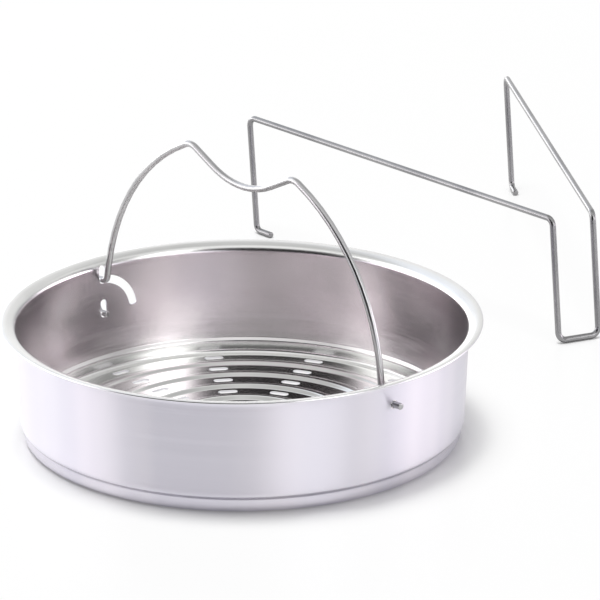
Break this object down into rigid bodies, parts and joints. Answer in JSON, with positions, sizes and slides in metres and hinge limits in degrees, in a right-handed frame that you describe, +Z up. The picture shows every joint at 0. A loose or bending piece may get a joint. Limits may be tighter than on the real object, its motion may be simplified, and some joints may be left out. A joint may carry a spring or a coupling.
{
  "type": "steamer insert",
  "caption": "Shallow round steel basket with a ribbed, slotted base and a folding bent-wire handle, with a loose bent-wire stand that holds it above the water in a pot",
  "frame": {"origin": "on the basket's axis, on the underside of the flat middle of its base, which rests on the surface", "axes": "+Z up out of the basket, -Y towards the camera of the picture, +X to the picture's right"},
  "size_m": [0.2786, 0.4676, 0.1281],
  "materials": {
    "drawn_sheet": "satin stainless sheet, polished rim",
    "handle_wire": "bright drawn stainless wire",
    "stand_wire": "bright drawn stainless wire"
  },
  "bodies": {
    "basket": {"basket": "drawn_sheet"},
    "bail_handle": {"bail_handle": "handle_wire"},
    "tripod_stand": {"tripod_stand": "stand_wire"}
  },
  "joints": [
    {"name": "handle_fold", "type": "hinge", "parent": "basket", "child": "bail_handle", "pos_m": [-0.06597, 0.07589, 0.0285], "axis": [-0.6547, 0.7531, -0.0649], "range_deg": [0, 80]},
    {"name": "stand_lift", "type": "slide", "parent": "basket", "child": "tripod_stand", "axis": [0, 0, 1], "range_m": [0, 0.15]}
  ]
}
